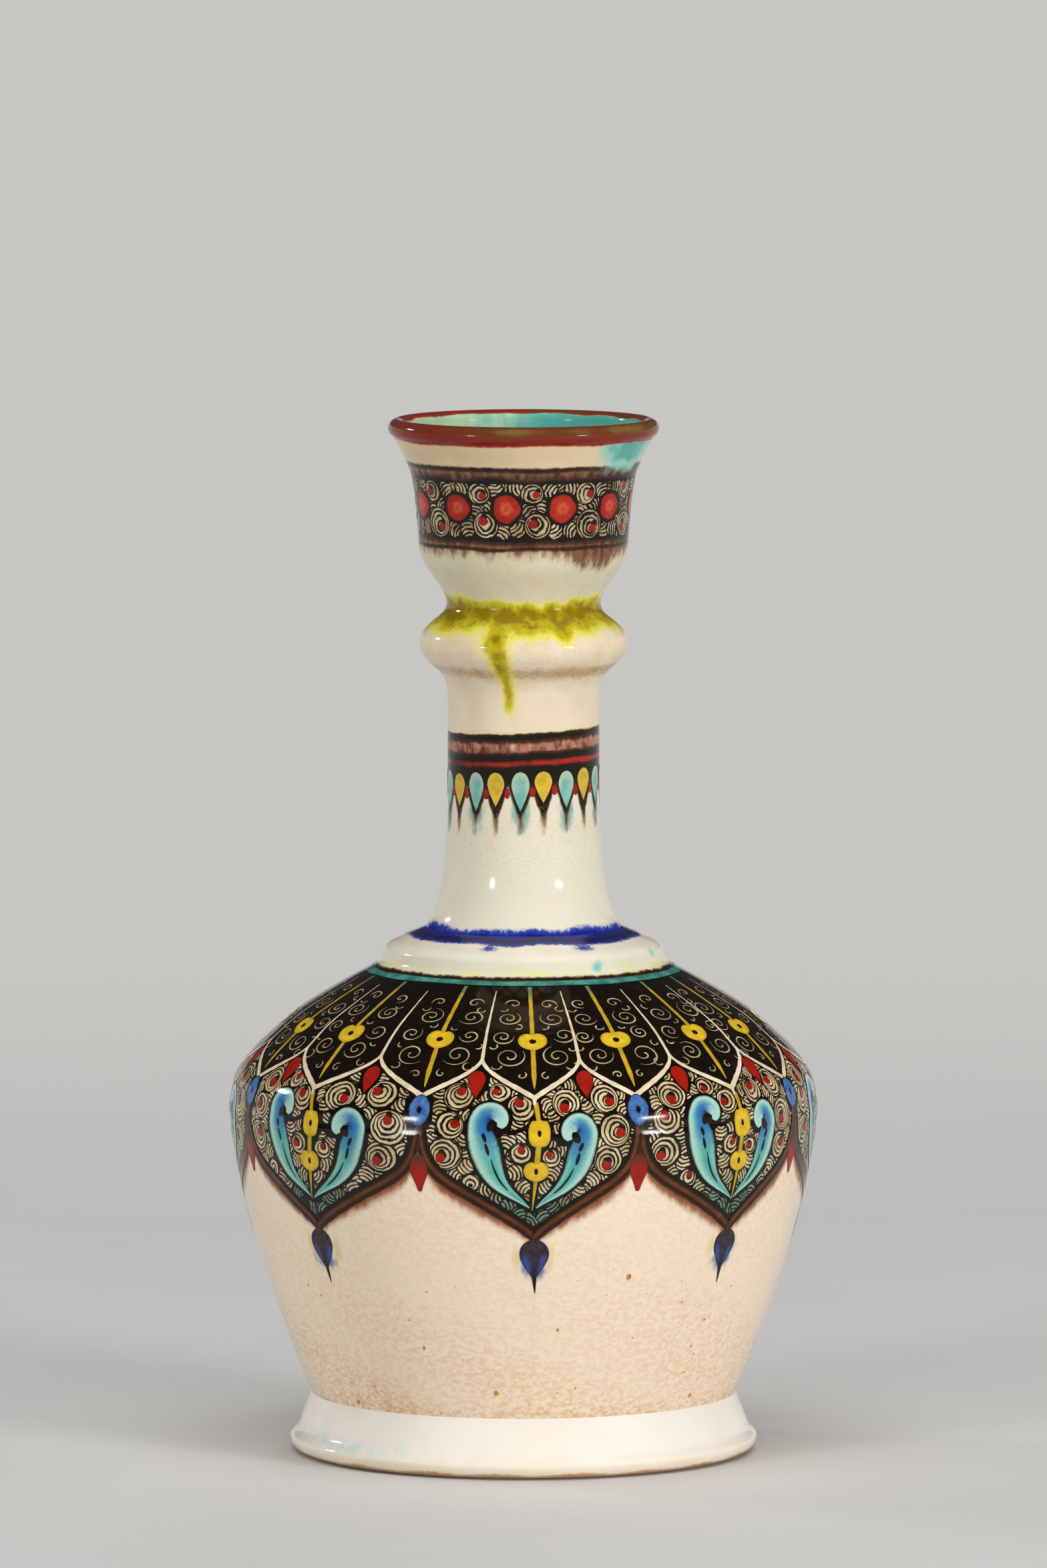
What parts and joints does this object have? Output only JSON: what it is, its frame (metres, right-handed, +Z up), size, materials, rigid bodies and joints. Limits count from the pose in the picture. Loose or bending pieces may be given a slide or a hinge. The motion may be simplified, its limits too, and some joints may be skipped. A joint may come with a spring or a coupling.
{
  "type": "ceramic decanter",
  "caption": "Long-necked ceramic decanter with a flared foot, broad-shouldered belly, stepped collar, beaded neck and cup mouth, glazed and painted with scroll and lappet bands.",
  "frame": {"origin": "middle of the foot's standing face, on the vessel's turning axis", "axes": "+Z up along the turning axis, towards the mouth; X and Y are any two directions across it, with -Y towards the pictured side"},
  "size_m": [0.1704, 0.1704, 0.3],
  "materials": {
    "foot_glaze": "glossy white glaze, bare clay on the standing edge",
    "belly_glaze": "glossy cream glaze, mottled, with painted lappets on its upper part",
    "shoulder_glaze": "glossy black painted ground with tongues and scrolls",
    "collar_glaze": "glossy cream glaze with a blue line",
    "neck_glaze": "glossy cream glaze with a painted band",
    "knop_glaze": "glossy cream glaze under a yellow-green run",
    "cup_glaze": "glossy cream glaze with a painted band, red lip and turquoise inside"
  },
  "bodies": {
    "root": {"foot_ring": "foot_glaze", "belly_bowl": "belly_glaze", "shoulder_dome": "shoulder_glaze", "neck_collar": "collar_glaze", "neck_tube": "neck_glaze", "neck_knop": "knop_glaze", "mouth_cup": "cup_glaze"}
  },
  "joints": []
}
